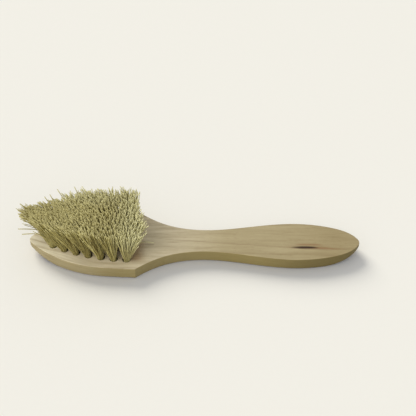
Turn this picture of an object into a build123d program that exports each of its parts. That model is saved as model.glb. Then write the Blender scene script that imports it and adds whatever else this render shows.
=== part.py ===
from build123d import *

import math
import os

# Body dry brush: a one-piece flat wooden body with a leaf-shaped head and a waisted handle, and tufts
# of plant fibre set in blind holes, each held by a flat wire anchor.
#
# Frame: millimetres, +X from the head to the handle, +Z up out of the bristle side, origin on the flat
# back under the middle of the body's length. The brush lies on its back with the bristles up.

# Wooden body
LENGTH = 240.0
THICKNESS = 10.0
HEAD_NOSE_RADIUS = 5.0
HEAD_NOSE_SWEEP = 46.0  # degrees of nose on each side, before the head's side starts
HEAD_CHEEK = Vector(-66.0, 27.1)  # where the head's side turns from a curve into nearly a straight
SHOULDER = Vector(-41.8, 28.3)  # sharp corner at the end of the head's side
SHOULDER_DROP = 39.0  # degrees by which the outline turns in towards the neck there
HANDLE_POINTS = [(-21.0, 15.7), (10.0, 10.65), (41.0, 14.35), (71.0, 17.75), (97.0, 15.1)]
HANDLE_NOSE_RADIUS = 5.1
HANDLE_NOSE_SWEEP = 31.0
TOP_EDGE_RADIUS = 0.4
BACK_EDGE_RADIUS = 1.2

# Ends of the back, sanded so that they curve up to the tips
HEAD_RISE = 5.5
HEAD_RISE_RUN = 24.0
HANDLE_RISE = 7.0
HANDLE_RISE_RUN = 27.0

# Tuft holes: columns across the head, each as wide as the rows that follow its edges
EDGE_ROW = [(-102.2, 6.2), (-76.0, 15.4), (-48.4, 19.1)]  # arc through the outermost holes
COLUMNS = "abcdefg"  # from the nose to the shoulder
TUFT_PITCH = 9.3
HOLE_RADIUS = 3.0
HOLE_DEPTH = 6.2
DRILL_POINT = 1.4

# Tufts
TUFT_CLEARANCE = 0.05
TRIM_HEIGHT = 28.0  # bristle tips above the body's face
TRIM_RADIUS = 6.4  # half width of a loose tuft at its tips
UPRIGHT_X = -58.5  # tufts here stand straight up, and the others fan out from it
FAN_LENGTHWISE = 1.38  # spread of the tips over the spread of the holes
FAN_CROSSWISE = 1.05
TUFT_GAP = 0.2  # between the loose ends of neighbouring tufts

# Anchors: flat wire that folds each tuft in two and bites into the hole's wall
ANCHOR_LENGTH = 7.2
ANCHOR_WIDTH = 1.8
ANCHOR_THICKNESS = 0.4
ANCHOR_ABOVE_BOTTOM = 1.1


def outline():
    """The body's outline seen from above."""
    sweep = math.radians(HEAD_NOSE_SWEEP)
    nose_tip = Vector(-LENGTH / 2, 0)
    nose_centre = nose_tip + Vector(HEAD_NOSE_RADIUS, 0)
    nose_end = nose_centre + Vector(-math.cos(sweep), math.sin(sweep)) * HEAD_NOSE_RADIUS
    nose = TangentArc(nose_tip, nose_end, tangent=(0, 1))
    cheek = TangentArc(nose_end, HEAD_CHEEK, tangent=nose % 1)
    side = TangentArc(HEAD_CHEEK, SHOULDER, tangent=cheek % 1)

    sweep = math.radians(HANDLE_NOSE_SWEEP)
    drop = math.radians(SHOULDER_DROP)
    handle_tip = Vector(LENGTH / 2, 0)
    end_centre = handle_tip - Vector(HANDLE_NOSE_RADIUS, 0)
    handle_end = end_centre + Vector(math.cos(sweep), math.sin(sweep)) * HANDLE_NOSE_RADIUS
    handle = Spline(
        SHOULDER,
        *HANDLE_POINTS,
        handle_end,
        tangents=[(math.cos(drop), -math.sin(drop)), (math.sin(sweep), -math.cos(sweep))],
        tangent_scalars=(1, 1),
    )
    end = TangentArc(handle_end, handle_tip, tangent=handle % 1)
    half = [nose, cheek, side, handle, end]
    return make_face(Curve() + half + [mirror(edge, Plane.XZ) for edge in half])


def side_profile():
    """The body seen from the side: its flat back curves up to the two tips."""
    head_tip = Vector(-LENGTH / 2, HEAD_RISE)
    handle_tip = Vector(LENGTH / 2, HANDLE_RISE)
    back = Line((HEAD_RISE_RUN - LENGTH / 2, 0), (LENGTH / 2 - HANDLE_RISE_RUN, 0))
    head_rise = TangentArc(back @ 0, head_tip, tangent=(-1, 0))
    handle_rise = TangentArc(back @ 1, handle_tip, tangent=(1, 0))
    face = Polyline(head_tip, (head_tip.X, THICKNESS), (handle_tip.X, THICKNESS), handle_tip)
    return make_face(Curve() + [back, head_rise, handle_rise, face])


def tuft_places():
    """Each tuft's name and hole centre: columns across the head, evenly filled between its sides."""
    edge_row = ThreePointArc(*EDGE_ROW)
    places = {}
    for step, column in enumerate(COLUMNS):
        edge = edge_row @ (step / (len(COLUMNS) - 1))
        gaps = max(1, round(2 * edge.Y / TUFT_PITCH))
        for n in range(gaps + 1):
            y = edge.Y * (2 * n / gaps - 1)
            places[f"tuft_{column}{n + 1}"] = Vector(edge.X, y, THICKNESS)
    return places


def tip_centre(hole):
    """Centre of a tuft's trimmed tips."""
    x = UPRIGHT_X + FAN_LENGTHWISE * (hole.X - UPRIGHT_X)
    return Vector(x, FAN_CROSSWISE * hole.Y, THICKNESS + TRIM_HEIGHT)


def drilled(radius, depth, point):
    """A blind hole's shape below its mouth at the origin, with the drill's conical point."""
    profile = Polyline((0, 0), (radius, 0), (radius, -depth), (0, -depth - point), close=True)
    return revolve(Plane.XZ * make_face(profile), Axis.Z)


def anchor(hole):
    """The flat wire across the bottom of one hole, standing on edge and lying along Y."""
    low = hole.Z - HOLE_DEPTH + ANCHOR_ABOVE_BOTTOM
    shape = Box(ANCHOR_THICKNESS, ANCHOR_LENGTH, ANCHOR_WIDTH)
    return Pos(hole.X, hole.Y, low + ANCHOR_WIDTH / 2) * shape


def wooden_body(places):
    """The board with its eased edges, tuft holes and the slots that the anchors cut."""
    board = extrude(outline(), THICKNESS)
    board &= extrude(Plane.XZ * side_profile(), LENGTH / 2, both=True)
    back = board.faces().filter_by(lambda face: face.normal_at().Z < -0.5)
    back_rim = back.edges().filter_by(lambda edge: abs((edge @ 0.5).Y) > BACK_EDGE_RADIUS)
    board = fillet(back_rim, BACK_EDGE_RADIUS)
    board = fillet(board.faces().sort_by(Axis.Z)[-1].edges(), TOP_EDGE_RADIUS)
    hole = drilled(HOLE_RADIUS, HOLE_DEPTH, DRILL_POINT)
    return board - [Pos(place) * hole for place in places] - [anchor(place) for place in places]


def parting_plane(hole, neighbour):
    """The plane half way between two tufts, from their holes up to their tips."""
    tip, next_tip = tip_centre(hole), tip_centre(neighbour)
    low, high = (hole + neighbour) / 2, (tip + next_tip) / 2
    across = Vector(0, 0, 1).cross(next_tip - tip)
    normal = across.cross(high - low).normalized()
    if normal.dot(next_tip - tip) < 0:
        normal = -normal
    return Plane(origin=high - normal * (TUFT_GAP / 2), z_dir=normal)


def tuft(hole, places):
    """One tuft: a plug in its hole, folded round its anchor, and a loose end that fans out."""
    radius = HOLE_RADIUS - TUFT_CLEARANCE
    mouth = Pos(hole) * Circle(radius)
    tips = Pos(tip_centre(hole)) * Circle(TRIM_RADIUS)
    loose_end = loft([mouth, tips], ruled=True)
    for neighbour in places:
        reach = (tip_centre(neighbour) - tip_centre(hole)).length
        if 0 < reach < 2 * TRIM_RADIUS + TUFT_GAP:
            plane = parting_plane(hole, neighbour)
            loose_end = split(loose_end, bisect_by=plane, keep=Keep.BOTTOM)
    plug = Pos(hole) * drilled(radius, HOLE_DEPTH, DRILL_POINT - TUFT_CLEARANCE)
    return loose_end + plug - anchor(hole)


def main():
    os.makedirs("parts", exist_ok=True)
    holes = tuft_places()
    places = list(holes.values())
    export_step(wooden_body(places), "parts/wooden_body.step")
    export_step(Compound([anchor(place) for place in places]), "parts/anchor_wires.step")
    for name, place in holes.items():
        export_step(tuft(place, places), f"parts/{name}.step")


main()
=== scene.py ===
import math

import bpy
import numpy as np
from mathutils import Matrix, Vector


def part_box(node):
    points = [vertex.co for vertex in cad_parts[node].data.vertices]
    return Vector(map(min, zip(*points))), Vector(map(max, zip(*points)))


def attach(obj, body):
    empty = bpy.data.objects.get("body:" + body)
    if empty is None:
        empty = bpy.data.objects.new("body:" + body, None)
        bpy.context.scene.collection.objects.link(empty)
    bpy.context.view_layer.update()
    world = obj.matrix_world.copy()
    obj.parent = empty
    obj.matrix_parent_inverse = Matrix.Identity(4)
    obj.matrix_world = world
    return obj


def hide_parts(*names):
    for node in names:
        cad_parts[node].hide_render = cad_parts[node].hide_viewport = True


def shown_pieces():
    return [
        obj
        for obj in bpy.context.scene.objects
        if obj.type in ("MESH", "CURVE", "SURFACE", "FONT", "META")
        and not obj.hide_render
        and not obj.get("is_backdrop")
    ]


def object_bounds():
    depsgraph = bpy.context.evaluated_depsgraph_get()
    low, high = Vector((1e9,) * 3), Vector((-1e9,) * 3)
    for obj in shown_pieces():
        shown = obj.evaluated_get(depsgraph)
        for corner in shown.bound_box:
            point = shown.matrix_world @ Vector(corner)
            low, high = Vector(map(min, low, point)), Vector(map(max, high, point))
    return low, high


# Looks of the body dry brush: bare wood with a long grain and a mineral streak, and tufts made of separate
# plant fibres. Lengths are in metres, in the frame of the CAD model: +X from the head to the handle, +Z up
# out of the bristle side. Patterns on the wood and the fibres are worked out in millimetres.

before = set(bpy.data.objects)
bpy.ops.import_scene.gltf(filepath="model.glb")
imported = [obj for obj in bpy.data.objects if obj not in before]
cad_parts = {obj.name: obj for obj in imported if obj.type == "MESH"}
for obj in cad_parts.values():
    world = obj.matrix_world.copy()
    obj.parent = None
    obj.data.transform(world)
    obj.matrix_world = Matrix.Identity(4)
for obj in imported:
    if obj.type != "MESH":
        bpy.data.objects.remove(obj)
CAD_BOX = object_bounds()
BODY = "root"
MM = 0.001

# Camera: the point that it looks at, and where it stands from there
CAMERA_TARGET = (0.0094, 0.0428, 0.0)
CAMERA_DISTANCE = 0.8384
CAMERA_AZIMUTH = -89.58  # this and the lights' azimuths are in degrees, from +X towards +Y
CAMERA_ELEVATION = 45.87
CAMERA_ROLL = 0.265
CAMERA_LENS = 95.2
CAMERA_SENSOR = 36.0

# Light. The key light and the top light fall on the brush alone, and the floor light on the floor alone,
# where only the board casts its shadow. The low fill falls on the fibres alone and nothing on the brush
# blocks it, in place of the light that real fibres pass on to each other.
KEY_LIGHT = {"azimuth": 219.0, "elevation": 44.5, "angle": 50.0, "strength": 1.83}
TOP_LIGHT = {"azimuth": 50.0, "elevation": 74.0, "angle": 50.0, "strength": 0.6}
FILL_LIGHT = {"azimuth": 245.0, "elevation": 18.0, "angle": 100.0, "strength": 0.95}
FLOOR_LIGHT = {"azimuth": 123.0, "elevation": 30.0, "angle": 34.0, "strength": 2.86}
LIGHT_COLOUR = (1.0, 0.99, 0.965)
SKY_ZENITH = (0.61, 0.625, 0.655)
SKY_HORIZON = (0.51, 0.525, 0.55)
FLOOR_SIZE = 4.0
FLOOR_COLOUR = (0.865, 0.826, 0.708)
FLOOR_TOOTH = 0.985  # brightness of the card's darkest parts, as a share of that colour
FLOOR_GLOW = (0.003, 0.012, 0.045)  # keeps the shadow on the floor neutral beside the warm wood

# Wood colours. Each pair is the lighter and the darker bands
HEAD_BANDS = (0.500, 0.424, 0.274), (0.430, 0.361, 0.227)
HANDLE_BANDS = (0.385, 0.315, 0.172), (0.338, 0.272, 0.142)
# painted light: the top face paler towards the nose, against the shade under the leaning bristles
PAINTED_LIGHT_NOSE = (0.730, 0.650, 0.448)
HANDLE_END = (0.285, 0.218, 0.098)
# painted shade: the brown of the tufts' shadow on the wood beside the last column
SHADE_BESIDE_TUFTS = (0.270, 0.165, 0.068)
LONG_LINE = (0.220, 0.150, 0.075)
# On the sides: partly the sawn wood's own darker colour and partly painted shade
SAWN_SHADED_HEAD = (0.300, 0.238, 0.099)
SAWN_SHADED_NECK = (0.258, 0.198, 0.061)
SAWN_SHADED_HANDLE = (0.152, 0.113, 0.027)
# Growth rings, in mm: they lie round the tree's middle, which is below the board and to its far side
PITH_Y = 21.0
PITH_Z = -46.0
RING_SPACING = 3.1
GRAIN_TURN_X = -74.0  # from here to the nose the grain turns along the head's near side
GRAIN_TURN = 0.36  # along Y per unit of X

# Mineral streak: (centre x, centre y, half length, half width, strength, colour), in mm
STREAK_Z = 10.0
STREAK_DEPTH = 2.5
DARK_MINERAL = (0.030, 0.012, 0.003)
REDDISH_MINERAL = (0.235, 0.128, 0.052)
STREAK = [
    (82.0, -4.6, 17.0, 3.0, 0.22, REDDISH_MINERAL),
    (83.0, -3.0, 10.5, 1.1, 0.62, REDDISH_MINERAL),
    (98.0, -6.8, 13.0, 0.75, 0.60, REDDISH_MINERAL),
    (86.0, -6.0, 14.0, 1.0, 0.70, REDDISH_MINERAL),
    (80.0, -5.8, 10.5, 1.35, 0.97, DARK_MINERAL),
]

# Fibre colours: each pair is the darkest and the lightest tone
SHAFT_TONES = (0.176, 0.138, 0.034), (0.490, 0.432, 0.160)
END_TONES = (0.272, 0.226, 0.064), (0.392, 0.339, 0.111)
STRAW = (0.700, 0.650, 0.360)
BROWN = (0.200, 0.145, 0.045)
BLOTCH = (0.300, 0.240, 0.068)
# painted shade: the fibres darker low down, deep in the tuft
SHADED_ROOT = (0.240, 0.180, 0.048)
CUT_END = (0.680, 0.635, 0.345)
# painted light: paler fibres on the far side and at the right end, where light passes through them
LIT_OUTER_FIBRE = (0.660, 0.630, 0.360)
# painted shade: the fibres darker towards the nose, against the key light that falls most on them there
SHADED_NOSE_FIBRE = (0.240, 0.192, 0.050)

# Shape of a fibre
FIBRES_PER_TUFT = 190
FIBRE_SIDES = 6
ROOT_RADIUS = 0.18 * MM
TIP_RADIUS = 0.235 * MM
THICKNESS_SPREAD = 0.13
THINNEST, THICKEST = 0.7, 1.35
STRAY_THICKNESS = 1.4
STATIONS = (0.0, 0.08, 0.17, 0.28, 0.39, 0.50, 0.61, 0.71, 0.81, 0.91, 1.0)  # from the mouth to the tip
BEND = 1.18  # how late a fibre bends over towards its tip: at 1 it is straight
BOW = 0.6 * MM
SWAY = 0.22 * MM
CRIMP = 0.10 * MM
CRIMP_RATE = 11.0  # radians of crimp from the mouth to the tip

# The part of a fibre in its hole: the fold under the anchor wire, the shank beside it, and the neck
BUNDLE_RADIUS = 2.75 * MM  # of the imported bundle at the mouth, on the side that it leans over
LEAN_SHIFT = 0.62 * MM  # of the bundle's middle towards that side
FULL_LEAN = 6 * MM  # lean of the tips at which the shift is whole
FOLD_DEPTH = 5.7 * MM
FOLD_ASIDE = 0.15 * MM
FOLD_HALF_LENGTH = 1.9 * MM
FOLD_SAG = 0.35 * MM
SHANK_SQUEEZE = 0.92
SHANK_ASIDE = 0.45 * MM  # least distance from the wire's middle
SHANK_RISE = 1.2 * MM  # above the fold
NECK_SHARE = 0.2  # of the way from the mouth to the shank
NECK_DEPTH = 1.0 * MM
IN_HOLE = 3  # how many of a fibre's points are in its hole

# Where the tips lie
# For each column of tufts: how far the tips lean along X from their hole, and further along X per unit
# of Y; half the ground that they cover along X and along Y; and how far they are drawn towards Y = 0
COLUMNS = {
    "a": (-14.4 * MM, -0.24, 8.4 * MM, 6.2 * MM, 2.4 * MM),
    "b": (-12.6 * MM, -0.14, 9.0 * MM, 5.6 * MM, 1.0 * MM),
    "c": (-11.2 * MM, -0.12, 8.5 * MM, 5.4 * MM, 0.7 * MM),
    "d": (-10.0 * MM, -0.12, 8.5 * MM, 5.4 * MM, 0.7 * MM),
    "e": (-8.8 * MM, -0.12, 8.5 * MM, 5.4 * MM, 0.7 * MM),
    "f": (-4.9 * MM, -0.12, 9.8 * MM, 5.3 * MM, 0.7 * MM),
    "g": (1.4 * MM, -0.17, 9.8 * MM, 5.3 * MM, 0.5 * MM),
}
# Tufts whose tips are combed away from that pattern, along X and along Y
COMBED = {
    "tuft_a1": (2.6 * MM, 4.0 * MM),
    "tuft_a2": (1.2 * MM, -3.0 * MM),
    "tuft_b1": (-2.8 * MM, 4.6 * MM),
    "tuft_b3": (0.0, -4.2 * MM),
    "tuft_c1": (-2.6 * MM, 4.2 * MM),
    "tuft_c4": (0.0, -4.2 * MM),
    "tuft_d1": (-1.6 * MM, 3.2 * MM),
    "tuft_d4": (0.0, -1.6 * MM),
    "tuft_e1": (0.0, 2.6 * MM),
    "tuft_f1": (0.0, 2.0 * MM),
    "tuft_g1": (-2.2 * MM, 1.4 * MM),
    "tuft_g2": (1.5 * MM, 0.0),
    "tuft_g3": (1.2 * MM, 0.0),
}
SQUARENESS = 3.0  # of the ground under a tuft's tips: 2 is an ellipse, and more is squarer
TIP_CANDIDATES = 2400
TIP_JITTER = 0.8 * MM
LOCKS = 34  # pointed locks per tuft
LOCK_PULL = (0.1, 0.4)  # how far a lock draws its fibres together at the tips
LOCK_TONE = 0.6  # share of a fibre's tone that is its lock's
TONE_CONTRAST = 1.25
CROSSING = 0.26  # how far a fibre's place in the bundle strays from the way that its tip lies
TIP_DROP = 0.8 * MM  # of the visible tips below the CAD model's trimmed ends
TIP_HEIGHT_SPREAD = 0.8 * MM
SHORTER_SHARE = 0.22
SHORTER_BY = (0.8 * MM, 7.0 * MM)
STRAY_SHARE = 0.02
STRAY_SPREAD = 1.6 * MM
STRAY_RISE = (0.2 * MM, 3.5 * MM)
# Loose fibres that stand out: tuft, tip in mm, how late the fibre bends over, and rise of its middle in mm
STRAYS = [
    ("tuft_a1", (-126.1, -5.3, 26.0), 2.6, 5.0),
    ("tuft_a1", (-123.2, -8.0, 23.4), 2.2, 6.0),
    ("tuft_a2", (-124.6, 6.4, 40.0), 1.3, 0.0),
    ("tuft_b3", (-107.5, 12.8, 41.0), 1.2, 0.0),
    ("tuft_b3", (-104.0, 14.9, 41.0), 1.0, 0.0),
    ("tuft_c4", (-99.1, 19.2, 42.0), 1.1, 0.0),
    ("tuft_c4", (-96.0, 17.1, 40.5), 1.2, 0.0),
    ("tuft_c4", (-89.7, 18.7, 41.0), 1.1, 0.0),
    ("tuft_d4", (-86.9, 21.5, 42.5), 1.2, 0.0),
    ("tuft_d4", (-79.0, 19.6, 41.3), 1.1, 0.0),
    ("tuft_e5", (-70.2, 21.2, 41.3), 1.1, 0.0),
    ("tuft_f5", (-59.3, 22.1, 42.3), 1.1, 0.0),
    ("tuft_g5", (-51.5, 23.0, 41.5), 1.1, 0.0),
    ("tuft_g5", (-39.6, 19.6, 40.0), 1.3, 0.0),
    ("tuft_g2", (-32.0, -10.4, 36.2), 1.5, 0.0),
    ("tuft_g3", (-33.8, -6.0, 36.4), 1.5, 0.0),
    ("tuft_g1", (-33.0, -15.6, 34.6), 1.5, 0.0),
    ("tuft_g2", (-29.3, -3.9, 11.2), 1.0, 2.0),
]
FIRST_SEED = 1000


class Shader:
    """A material and the short calls that build its node tree. Colours are linear."""

    def __init__(self, name):
        self.material = bpy.data.materials.new(name)
        self.material.use_nodes = True
        self.tree = self.material.node_tree
        self.surface = self.tree.nodes["Principled BSDF"]
        object_place = self.node("ShaderNodeTexCoord").outputs["Object"]
        self.place = self.vector("MULTIPLY", object_place, (1 / MM, 1 / MM, 1 / MM))
        self.x, self.y, self.z = self.node("ShaderNodeSeparateXYZ", {0: self.place}).outputs

    def feed(self, socket, value):
        if isinstance(value, bpy.types.NodeSocket):
            self.tree.links.new(value, socket)
        else:
            socket.default_value = value

    def feed_surface(self, name, value):
        self.feed(self.surface.inputs[name], value)

    def node(self, kind, inputs=None, **settings):
        made = self.tree.nodes.new(kind)
        for key, value in settings.items():
            setattr(made, key, value)
        for socket, value in (inputs or {}).items():
            self.feed(made.inputs[socket], value)
        return made

    def math(self, operation, *values):
        made = self.node("ShaderNodeMath", operation=operation)
        for socket, value in zip(made.inputs, values):
            self.feed(socket, value)
        return made.outputs[0]

    def product(self, first, *others):
        for other in others:
            first = self.math("MULTIPLY", first, other)
        return first

    def sum_of_squares(self, *values):
        total = 0.0
        for value in values:
            total = self.math("MULTIPLY_ADD", value, value, total)
        return total

    def vector(self, operation, *values):
        made = self.node("ShaderNodeVectorMath", operation=operation)
        for socket, value in zip(made.inputs, values):
            self.feed(socket, value)
        return made.outputs[0]

    def spread(self, value, low, high, to_low=0.0, to_high=1.0):
        """Maps low..high smoothly to to_low..to_high, and clamps it."""
        made = self.node(
            "ShaderNodeMapRange",
            {"Value": value, "From Min": low, "From Max": high, "To Min": to_low, "To Max": to_high},
            interpolation_type="SMOOTHSTEP",
        )
        return made.outputs["Result"]

    def mix(self, factor, first, second, blend="MIX"):
        """Two colours blended, each of them a socket or three numbers."""
        made = self.node("ShaderNodeMix", data_type="RGBA", blend_type=blend)
        self.feed(made.inputs["Factor"], factor)
        for socket, colour in ((made.inputs[6], first), (made.inputs[7], second)):
            self.feed(socket, (*colour, 1) if isinstance(colour, tuple) else colour)
        return made.outputs[2]

    def noise(self, scale=1.0, detail=2.0, roughness=0.5, vector=None):
        made = self.node(
            "ShaderNodeTexNoise",
            {"Vector": vector or self.place, "Scale": scale, "Detail": detail, "Roughness": roughness},
        )
        return made.outputs["Fac"]

    def stretched(self, vector, along, across, **options):
        """Noise with features of these two sizes in millimetres, along X and across it."""
        size = (1 / along, 1 / across, 1 / across)
        return self.noise(vector=self.vector("MULTIPLY", vector, size), **options)

    def centred(self, noise, reach):
        """Noise made into an offset within half of this reach either way."""
        return self.math("MULTIPLY_ADD", noise, reach, -reach / 2)

    def bump(self, height, distance, strength):
        inputs = {"Height": height, "Distance": distance, "Strength": strength}
        self.feed_surface("Normal", self.node("ShaderNodeBump", inputs).outputs["Normal"])


class Wood(Shader):
    """Pale close-grained hardwood, with its grain along X."""

    def __init__(self):
        super().__init__("pale_hardwood")
        normal = self.node("ShaderNodeNewGeometry").outputs["Normal"]
        self.up = self.node("ShaderNodeSeparateXYZ", {0: normal}).outputs[2]
        self.ripple = self.centred(self.stretched(self.place, 17.0, 7.0, detail=2.0), 1.6)
        past_turn = self.math("MINIMUM", self.math("SUBTRACT", self.x, GRAIN_TURN_X), 0.0)
        straight_y = self.math("ADD", self.y, self.ripple)
        self.grain_y = self.math("ADD", straight_y, self.product(past_turn, GRAIN_TURN))
        combined = self.node("ShaderNodeCombineXYZ", {0: self.x, 1: self.grain_y, 2: self.z})
        self.grain_place = combined.outputs[0]
        self.fibres = self.grain(22.0, 0.5, detail=3.0, roughness=0.65)
        self.flecks = self.spread(self.grain(4.5, 0.42, detail=0.0), 0.68, 0.80)

        colour = self.grained(self.ground())
        colour = self.mix(self.product(self.long_line(), 0.42), colour, LONG_LINE)
        colour = self.streaked(colour)
        # Painted shade beside the last column of tufts
        colour = self.mix(self.product(self.painted_shade_beside_tufts(), 0.7), colour, SHADE_BESIDE_TUFTS)
        self.feed_surface("Base Color", self.sawn_and_shaded_sides(colour))
        self.finish_surface()

    def grain(self, along, across, **options):
        return self.stretched(self.grain_place, along, across, **options)

    def rings(self):
        """Late wood of the growth rings, clear in some places and faint in others."""
        drift = self.centred(self.stretched(self.place, 70.0, 26.0, detail=1.0), 9.0)
        ring_y = self.math("SUBTRACT", self.math("ADD", self.grain_y, drift), PITH_Y)
        ring_z = self.math("SUBTRACT", self.z, PITH_Z)
        radius = self.math("SQRT", self.sum_of_squares(ring_y, ring_z))
        ring = self.math("FRACT", self.math("DIVIDE", radius, RING_SPACING))
        late_wood = self.product(self.spread(ring, 0.35, 0.93), self.spread(ring, 1.0, 0.95))
        return self.product(late_wood, self.spread(self.grain(60.0, 9.0, detail=1.0), 0.38, 0.66))

    def ground(self):
        """The colour under the grain: wide bands, painted light on the top face towards the nose, and
        darker at the handle's end.
        """
        toward_handle = self.spread(self.x, -20.0, 30.0)
        light, dark = (self.mix(toward_handle, *pair) for pair in zip(HEAD_BANDS, HANDLE_BANDS))
        colour = self.mix(self.spread(self.grain(90.0, 5.0, detail=2.0), 0.3, 0.7), light, dark)
        # Painted light on the top face towards the nose, which makes up for the shade under the leaning
        # bristles
        face = self.spread(self.up, 0.4, 0.95)
        toward_nose = self.spread(self.x, -72.0, -104.0, 0.0, 0.9)
        colour = self.mix(self.product(face, toward_nose), colour, PAINTED_LIGHT_NOSE)
        return self.mix(self.spread(self.x, 52.0, 104.0, 0.0, 0.60), colour, HANDLE_END)

    def grained(self, colour):
        """The colour with streaks, rings, fibres, mottle and flecks, each a tint that multiplies it."""
        streaks = self.grain(24.0, 1.9, detail=2.0, roughness=0.6)
        toward_head = self.spread(self.x, 40.0, -60.0, 0.55, 1.25)
        mottle = self.noise(scale=0.45, detail=3.0)
        # (mask, share, tint)
        layers = [
            (self.product(self.spread(streaks, 0.51, 0.66), toward_head), 0.50, (0.74, 0.69, 0.62)),
            (self.product(self.spread(streaks, 0.48, 0.33), toward_head), 0.50, (1.16, 1.18, 1.22)),
            (self.rings(), 0.38, (0.70, 0.64, 0.56)),
            (self.spread(self.fibres, 0.38, 0.72), 0.30, (0.76, 0.72, 0.66)),
            (self.spread(mottle, 0.35, 0.65), 0.10, (1.20, 1.22, 1.25)),
            (self.flecks, 0.28, (0.55, 0.45, 0.34)),
        ]
        for mask, share, tint in layers:
            colour = self.mix(self.product(mask, share), colour, tint, "MULTIPLY")
        return colour

    def long_line(self):
        """One fine dark line of grain that wanders down the neck into the streak."""
        centre = self.math("MULTIPLY_ADD", self.x, -0.078, -0.7)
        aside = self.math("SUBTRACT", self.y, centre)
        off = self.math("ABSOLUTE", self.math("ADD", aside, self.ripple))
        ends = self.product(self.spread(self.x, -36.0, -10.0), self.spread(self.x, 108.0, 84.0))
        return self.product(self.spread(off, 0.55, 0.05), ends)

    def streaked(self, colour):
        """The colour with the dark mineral streak on the handle, its tail and the faint one beside it."""
        ragged = self.centred(self.grain(9.0, 0.7, detail=2.0), 1.1)
        for centre_x, centre_y, half_length, half_width, strength, tint in STREAK:
            along = self.math("DIVIDE", self.math("SUBTRACT", self.x, centre_x), half_length)
            across = self.math("DIVIDE", self.math("SUBTRACT", self.y, centre_y), half_width)
            down = self.math("DIVIDE", self.math("SUBTRACT", self.z, STREAK_Z), STREAK_DEPTH)
            square = self.sum_of_squares(along, across, down)
            mask = self.spread(self.math("ADD", square, ragged), 1.25, 0.1, 0.0, strength)
            colour = self.mix(mask, colour, tint)
        return colour

    def painted_shade_beside_tufts(self):
        """Painted shade: a brown patch beside the last column of tufts, on the near side, where their
        shadow falls on the wood.
        """
        along = self.product(self.spread(self.x, -33.0, -42.0), self.spread(self.x, -54.0, -48.0))
        return self.product(along, self.spread(self.y, 4.0, -6.0), self.spread(self.y, -22.5, -18.0))

    def sawn_and_shaded_sides(self, colour):
        """The colour with darker, duller wood on the board's sides: partly the sawn wood's own colour,
        partly painted shade.
        """
        side = self.spread(self.math("ABSOLUTE", self.up), 0.9, 0.4)
        side_colour = self.mix(self.spread(self.x, 40.0, 90.0), SAWN_SHADED_NECK, SAWN_SHADED_HANDLE)
        side_colour = self.mix(self.spread(self.x, -50.0, -85.0), side_colour, SAWN_SHADED_HEAD)
        share = self.spread(self.x, -90.0, -45.0, 0.62, 0.78)
        return self.mix(self.product(side, share), colour, side_colour)

    def finish_surface(self):
        """Satin from sanding, rougher in the flecks, which are small pores."""
        satin = self.spread(self.fibres, 0.3, 0.7, 0.50, 0.62)
        self.feed_surface("Roughness", self.math("ADD", satin, self.product(self.flecks, 0.12)))
        self.feed_surface("Specular IOR Level", 0.3)
        relief = self.math("SUBTRACT", self.product(self.fibres, 0.6), self.product(self.flecks, 0.5))
        self.bump(relief, 0.06 * MM, 0.5)


def fibre_material():
    """Dry straw-green plant fibre: each fibre has its own tone, and its cut tip is paler."""
    s = Shader("plant_fibre")
    tone = s.node("ShaderNodeAttribute", attribute_name="tone").outputs["Fac"]
    along = s.node("ShaderNodeAttribute", attribute_name="along").outputs["Fac"]
    blotches = s.noise(scale=0.55, detail=3.0)
    # Painted light: the fibres paler towards their tips on the far side and at the right end
    outer_side = s.spread(s.y, 4.0, 20.0, 0.0, 1.2)
    outer_end = s.spread(s.x, -62.0, -42.0, 0.0, 1.9)
    outer = s.product(s.math("MAXIMUM", outer_side, outer_end), s.spread(along, 0.40, 0.82, 0.12, 0.32))

    toned = s.spread(tone, 0.05, 0.95)
    colour = s.mix(s.spread(along, 0.60, 0.92), s.mix(toned, *SHAFT_TONES), s.mix(toned, *END_TONES))
    # (mask, colour)
    layers = [
        (s.spread(tone, 0.93, 1.0, 0.0, 0.5), STRAW),
        (s.spread(tone, 0.07, 0.0, 0.0, 0.6), BROWN),
        (s.spread(blotches, 0.40, 0.70, 0.0, 0.30), BLOTCH),
        # Painted shade: darker towards the roots, deep in the tuft
        (s.spread(along, 0.85, 0.1, 0.0, 0.20), SHADED_ROOT),
        (s.spread(along, 0.86, 1.0, 0.0, 0.35), CUT_END),
        (outer, LIT_OUTER_FIBRE),
        # Painted shade: darker fibres towards the nose
        (s.spread(s.x, -84.0, -112.0, 0.0, 0.22), SHADED_NOSE_FIBRE),
    ]
    for mask, tint in layers:
        colour = s.mix(mask, colour, tint)
    s.feed_surface("Base Color", colour)
    s.feed_surface("Roughness", s.spread(blotches, 0.3, 0.7, 0.52, 0.70))
    s.feed_surface("Specular IOR Level", 0.3)
    s.bump(s.noise(scale=5.0), 0.03 * MM, 0.4)
    return s.material


def wire_material():
    """Flat drawn steel wire, with fine lines along it."""
    s = Shader("drawn_steel_wire")
    lines = s.noise(vector=s.vector("MULTIPLY", s.place, (9.0, 0.3, 9.0)), detail=3.0)
    s.feed_surface("Base Color", s.mix(lines, (0.42, 0.42, 0.41), (0.62, 0.62, 0.60)))
    s.feed_surface("Metallic", 1.0)
    s.feed_surface("Roughness", s.spread(lines, 0.2, 0.8, 0.28, 0.45))
    s.bump(lines, 0.02 * MM, 0.3)
    return s.material


def floor_material():
    """Pale matt card, with a very faint tooth."""
    s = Shader("pale_card")
    darker = tuple(FLOOR_TOOTH * value for value in FLOOR_COLOUR)
    s.feed_surface("Base Color", s.mix(s.noise(scale=0.3, detail=4.0), FLOOR_COLOUR, darker))
    s.feed_surface("Emission Color", (*FLOOR_GLOW, 1))
    s.feed_surface("Emission Strength", 1.0)
    s.feed_surface("Roughness", 0.9)
    s.feed_surface("Specular IOR Level", 0.1)
    return s.material


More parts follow.
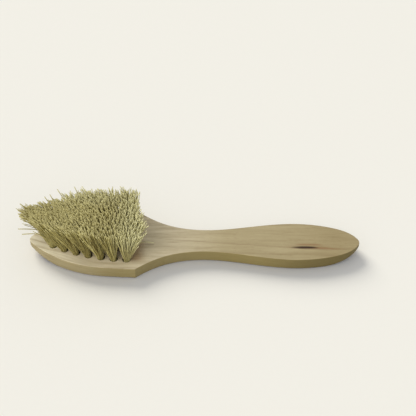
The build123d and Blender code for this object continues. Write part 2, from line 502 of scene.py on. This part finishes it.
def hole_and_tips(node):
    """The centre of a tuft's hole at the wood's face, and the centre of its trimmed tips."""
    points = np.array([vertex.co[:] for vertex in node.data.vertices])
    drill_point = points[points[:, 2].argmin()]
    trimmed = points[points[:, 2] > points[:, 2].max() - 0.1 * MM]
    hole = np.array([drill_point[0], drill_point[1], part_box("wooden_body")[1].z])
    return hole, (trimmed.min(axis=0) + trimmed.max(axis=0)) / 2


def disc(rng, count):
    """Points spread evenly over a disc of radius 1, in a jittered sunflower pattern."""
    n = np.arange(count) + 0.5
    radius = np.sqrt(n / count)
    angle = n * math.pi * (3 - math.sqrt(5)) + rng.normal(0, 0.10, count)
    radius = np.clip(radius + rng.normal(0, 0.03, count), 0, 1)
    return np.stack([radius * np.cos(angle), radius * np.sin(angle)], axis=1)


def spaced(rng, points, count):
    """This many of the points, each as far as possible from those already taken."""
    taken = [rng.integers(len(points))]
    distance = np.linalg.norm(points - points[taken[0]], axis=1)
    while len(taken) < count:
        taken.append(int(distance.argmax()))
        distance = np.minimum(distance, np.linalg.norm(points - points[taken[-1]], axis=1))
    return points[taken]


def tip_ground(rng, number, centres, halves):
    """Tips that fill the ground about this tuft's centre, as far as its neighbours', and their locks."""
    around = disc(rng, TIP_CANDIDATES)
    outward = np.abs(around) / np.linalg.norm(around, axis=1, keepdims=True)
    around /= np.sum(outward ** SQUARENESS, axis=1, keepdims=True) ** (1 / SQUARENESS)
    candidates = centres[number] + around * halves[number]
    scaled = (candidates[:, None] - centres[None]) / halves[None]
    nearest = np.linalg.norm(scaled, axis=2).argmin(axis=1)
    tips = spaced(rng, candidates[nearest == number], FIBRES_PER_TUFT)
    tips += rng.normal(0, TIP_JITTER, tips.shape)
    points = tips[:LOCKS]
    lock = np.linalg.norm(tips[:, None] - points[None], axis=2).argmin(axis=1)
    pull = rng.uniform(*LOCK_PULL, (FIBRES_PER_TUFT, 1))
    return tips + (points[lock] - tips) * pull, lock


def matched(rng, places, tips):
    """The places in the hole, each put in the row of a tip that lies much the same way from the middle."""
    offset = tips - tips.mean(axis=0)
    offset = offset / np.abs(offset).max(axis=0) + rng.normal(0, CROSSING, tips.shape)
    result = np.zeros_like(places)
    free = np.ones(len(places), bool)
    for row in np.argsort(-np.linalg.norm(offset, axis=1)):
        distance = np.linalg.norm(places - offset[row], axis=1)
        chosen = np.where(free, distance, np.inf).argmin()
        free[chosen] = False
        result[row] = places[chosen]
    return result


def tuft_paths(rng, hole, ground, strays):
    """Points along each fibre of a tuft, and their places along it. The listed strays come first."""
    count = len(ground)
    place = matched(rng, disc(rng, count), ground)
    lean = ground.mean(axis=0) - hole[:2]
    slant = np.linalg.norm(lean)
    shift = lean / max(slant, 1e-9) * LEAN_SHIFT * min(1, slant / FULL_LEAN)
    mouth = np.zeros((count, 3))
    mouth[:, :2] = hole[:2] + place * (BUNDLE_RADIUS - LEAN_SHIFT) + shift
    mouth[:, 2] = hole[2]

    tip = np.zeros((count, 3))
    tip[:, :2] = ground
    tip[:, 2] = CAD_BOX[1].z - TIP_DROP + rng.normal(0, TIP_HEIGHT_SPREAD, count)
    shorter = rng.random(count) < SHORTER_SHARE
    tip[shorter, 2] -= rng.uniform(*SHORTER_BY, shorter.sum())
    stray = rng.random(count) < STRAY_SHARE
    tip[stray, :2] += rng.normal(0, STRAY_SPREAD, (stray.sum(), 2))
    tip[stray, 2] += rng.uniform(*STRAY_RISE, stray.sum())
    bend = np.full((count, 1), BEND)
    rise = np.zeros(count)
    for row, (_, point, late, middle_rise) in enumerate(strays):
        tip[row] = np.array(point) * MM
        bend[row] = late
        rise[row] = middle_rise * MM
    in_hole = hole_points(hole, mouth, place)
    above = points_above(rng, mouth, tip, bend, rise)
    return np.stack(in_hole + above, axis=1), np.array([0.0] * IN_HOLE + list(STATIONS))


def hole_points(hole, mouth, place):
    """Where each fibre folds under the anchor wire, passes beside it, and nears the mouth."""
    side = np.where(mouth[:, 0] < hole[0], -1.0, 1.0)
    fold = mouth.copy()
    fold[:, 0] = hole[0] + side * FOLD_ASIDE
    fold[:, 1] = hole[1] + place[:, 1] * FOLD_HALF_LENGTH
    fold[:, 2] = hole[2] - FOLD_DEPTH - np.abs(place[:, 0]) * FOLD_SAG
    shank = hole + (mouth - hole) * SHANK_SQUEEZE
    shank[:, 0] = hole[0] + side * np.maximum(np.abs(shank[:, 0] - hole[0]), SHANK_ASIDE)
    shank[:, 2] = hole[2] - FOLD_DEPTH + SHANK_RISE
    neck = mouth + (shank - mouth) * NECK_SHARE
    neck[:, 2] = hole[2] - NECK_DEPTH
    return [fold, shank, neck]


def points_above(rng, mouth, tip, bend, rise):
    """Where each fibre is at each station from the mouth to its tip, with a bow, a sway and a crimp."""
    count = len(mouth)
    bow = rng.normal(0, BOW, (count, 2))
    sway = rng.normal(0, SWAY, (count, 2))
    crimp = rng.normal(0, CRIMP, (count, 2))
    phase = rng.uniform(0, 2 * math.pi, (count, 1))
    points = []
    for t in STATIONS:
        point = mouth + (tip - mouth) * t
        point[:, :2] = mouth[:, :2] + (tip[:, :2] - mouth[:, :2]) * t ** bend
        point[:, 2] += rise * math.sin(math.pi * t)
        point[:, :2] += bow * math.sin(math.pi * t) + sway * math.sin(3 * math.pi * t)
        point[:, :2] += crimp * min(1, 3 * t) * np.sin(CRIMP_RATE * t + phase)
        points.append(point)
    return points


def tubes(paths, along, radii, tones):
    """Vertices, faces, and each vertex's tone and place along its fibre, for tapered tubes."""
    count, stations, _ = paths.shape
    tangent = np.gradient(paths, axis=1)
    tangent /= np.linalg.norm(tangent, axis=2, keepdims=True)
    across = np.cross(paths[:, -1] - paths[:, IN_HOLE], (0.0, 0.0, 1.0))
    across /= np.maximum(np.linalg.norm(across, axis=1, keepdims=True), 1e-9)
    first = across[:, None] - tangent * np.sum(across[:, None] * tangent, axis=2, keepdims=True)
    first /= np.linalg.norm(first, axis=2, keepdims=True)
    second = np.cross(tangent, first)
    angles = np.arange(FIBRE_SIDES) * 2 * math.pi / FIBRE_SIDES
    ring = first[:, :, None] * np.cos(angles)[:, None] + second[:, :, None] * np.sin(angles)[:, None]
    vertices = paths[:, :, None] + ring * radii[:, :, None, None]

    start = np.arange(count)[:, None] * stations * FIBRE_SIDES
    step = np.arange(stations - 1)[None, :, None] * FIBRE_SIDES
    this = np.arange(FIBRE_SIDES)
    following = (this + 1) % FIBRE_SIDES
    corners = [this, following, following + FIBRE_SIDES, this + FIBRE_SIDES]
    quads = np.stack([start[:, :, None] + step + corner for corner in corners], axis=-1).reshape(-1, 4)
    root_caps = start + this[::-1]
    tip_caps = start + (stations - 1) * FIBRE_SIDES + this
    tone = np.repeat(tones, stations * FIBRE_SIDES)
    station = np.tile(np.repeat(along, FIBRE_SIDES), count)
    return vertices.reshape(-1, 3), quads.tolist() + root_caps.tolist() + tip_caps.tolist(), tone, station


def fibre_piece(name, rng, paths, along, lock, stray_count, material):
    """A mesh of separate fibres that follow these paths. The strays are the first ones."""
    count = len(paths)
    thickness = rng.normal(1.0, THICKNESS_SPREAD, count).clip(THINNEST, THICKEST)
    thickness[:stray_count] = STRAY_THICKNESS
    taper = ROOT_RADIUS + (TIP_RADIUS - ROOT_RADIUS) * along
    tones = LOCK_TONE * rng.random(LOCKS)[lock] + (1 - LOCK_TONE) * rng.random(count)
    tones = ((tones - 0.5) * TONE_CONTRAST + 0.5).clip(0, 1)
    vertices, faces, tone, station = tubes(paths, along, thickness[:, None] * taper[None], tones)
    mesh = bpy.data.meshes.new(name)
    mesh.from_pydata(vertices.tolist(), [], faces)
    for label, values in (("tone", tone), ("along", station)):
        mesh.attributes.new(label, "FLOAT", "POINT").data.foreach_set("value", values.astype(np.float32))
    mesh.materials.append(material)
    mesh.shade_smooth()
    piece = bpy.data.objects.new(name, mesh)
    bpy.context.scene.collection.objects.link(piece)
    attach(piece, BODY)
    return piece


def make_bristles():
    """One piece of separate fibres in place of each CAD tuft."""
    material = fibre_material()
    names = sorted(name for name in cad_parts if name.startswith("tuft_"))
    holes, centres, halves = [], [], []
    for name in names:
        hole, tips = hole_and_tips(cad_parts[name])
        lean, skew, half_x, half_y, drawn_in = COLUMNS[name[len("tuft_")]]
        combed_x, combed_y = COMBED.get(name, (0.0, 0.0))
        centre_x = hole[0] + lean + skew * hole[1] + combed_x
        centre_y = tips[1] - math.copysign(drawn_in, tips[1]) + combed_y
        holes.append(hole)
        centres.append((centre_x, centre_y))
        halves.append((half_x, half_y))
    centres, halves = np.array(centres), np.array(halves)
    for number, name in enumerate(names):
        rng = np.random.default_rng(FIRST_SEED + number)
        ground, lock = tip_ground(rng, number, centres, halves)
        strays = [stray for stray in STRAYS if stray[0] == name]
        paths, along = tuft_paths(rng, holes[number], ground, strays)
        piece = fibre_piece("bristle_" + name, rng, paths, along, lock, len(strays), material)
        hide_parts(name)


def set_material(node, material):
    node.data.materials.clear()
    node.data.materials.append(material)


def make_floor():
    bpy.ops.mesh.primitive_plane_add(size=FLOOR_SIZE, location=(0, 0, CAD_BOX[0].z))
    floor = bpy.context.object
    floor.name = "floor"
    floor.data.materials.append(floor_material())
    floor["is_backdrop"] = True
    return floor


def make_sky():
    """An even pale sky, a little darker towards the horizon."""
    world = bpy.data.worlds.new("studio")
    bpy.context.scene.world = world
    world.use_nodes = True
    tree = world.node_tree
    direction = tree.nodes.new("ShaderNodeTexCoord").outputs["Generated"]
    split = tree.nodes.new("ShaderNodeSeparateXYZ")
    tree.links.new(direction, split.inputs[0])
    blend = tree.nodes.new("ShaderNodeMix")
    blend.data_type = "RGBA"
    tree.links.new(split.outputs[2], blend.inputs["Factor"])
    blend.inputs[6].default_value = (*SKY_HORIZON, 1)
    blend.inputs[7].default_value = (*SKY_ZENITH, 1)
    tree.links.new(blend.outputs[2], tree.nodes["Background"].inputs["Color"])
    bpy.context.scene.view_settings.view_transform = "Standard"


def towards(azimuth, elevation):
    """The direction at this azimuth and elevation in degrees."""
    azimuth, elevation = math.radians(azimuth), math.radians(elevation)
    across = math.cos(elevation)
    return Vector((across * math.cos(azimuth), across * math.sin(azimuth), math.sin(elevation)))


def group(name, things):
    made = bpy.data.collections.new(name)
    for thing in things:
        made.objects.link(thing)
    return made


def make_sun(name, setting, lit, blockers=None):
    """A soft distant light on these objects alone. Only the blockers cast its shadow, or else all do."""
    light = bpy.data.lights.new(name, "SUN")
    light.energy = setting["strength"]
    light.angle = math.radians(setting["angle"])
    light.color = LIGHT_COLOUR
    lamp = bpy.data.objects.new(name, light)
    source = towards(setting["azimuth"], setting["elevation"])
    lamp.rotation_euler = source.to_track_quat("Z", "Y").to_euler()
    bpy.context.scene.collection.objects.link(lamp)
    lamp.light_linking.receiver_collection = group(name + "_lit", lit)
    if blockers:
        lamp.light_linking.blocker_collection = group(name + "_blockers", blockers)


def make_camera():
    data = bpy.data.cameras.new("camera")
    data.lens = CAMERA_LENS
    data.sensor_width = CAMERA_SENSOR
    camera = bpy.data.objects.new("camera", data)
    back = towards(CAMERA_AZIMUTH, CAMERA_ELEVATION)
    stand = Matrix.Translation(Vector(CAMERA_TARGET) + back * CAMERA_DISTANCE)
    turn = (-back).to_track_quat("-Z", "Y").to_matrix().to_4x4()
    camera.matrix_world = stand @ turn @ Matrix.Rotation(math.radians(CAMERA_ROLL), 4, "Z")
    bpy.context.scene.collection.objects.link(camera)
    bpy.context.scene.camera = camera


make_camera()
set_material(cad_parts["wooden_body"], Wood().material)
set_material(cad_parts["anchor_wires"], wire_material())
make_bristles()
make_sky()
floor = make_floor()
brush = [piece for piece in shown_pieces() if piece != floor]
fibres = [piece for piece in brush if piece.name.startswith("bristle_")]
make_sun("key", KEY_LIGHT, brush)
make_sun("top_light", TOP_LIGHT, brush)
make_sun("fill", FILL_LIGHT, fibres, [floor])
make_sun("floor_light", FLOOR_LIGHT, [floor], [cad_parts["wooden_body"]])
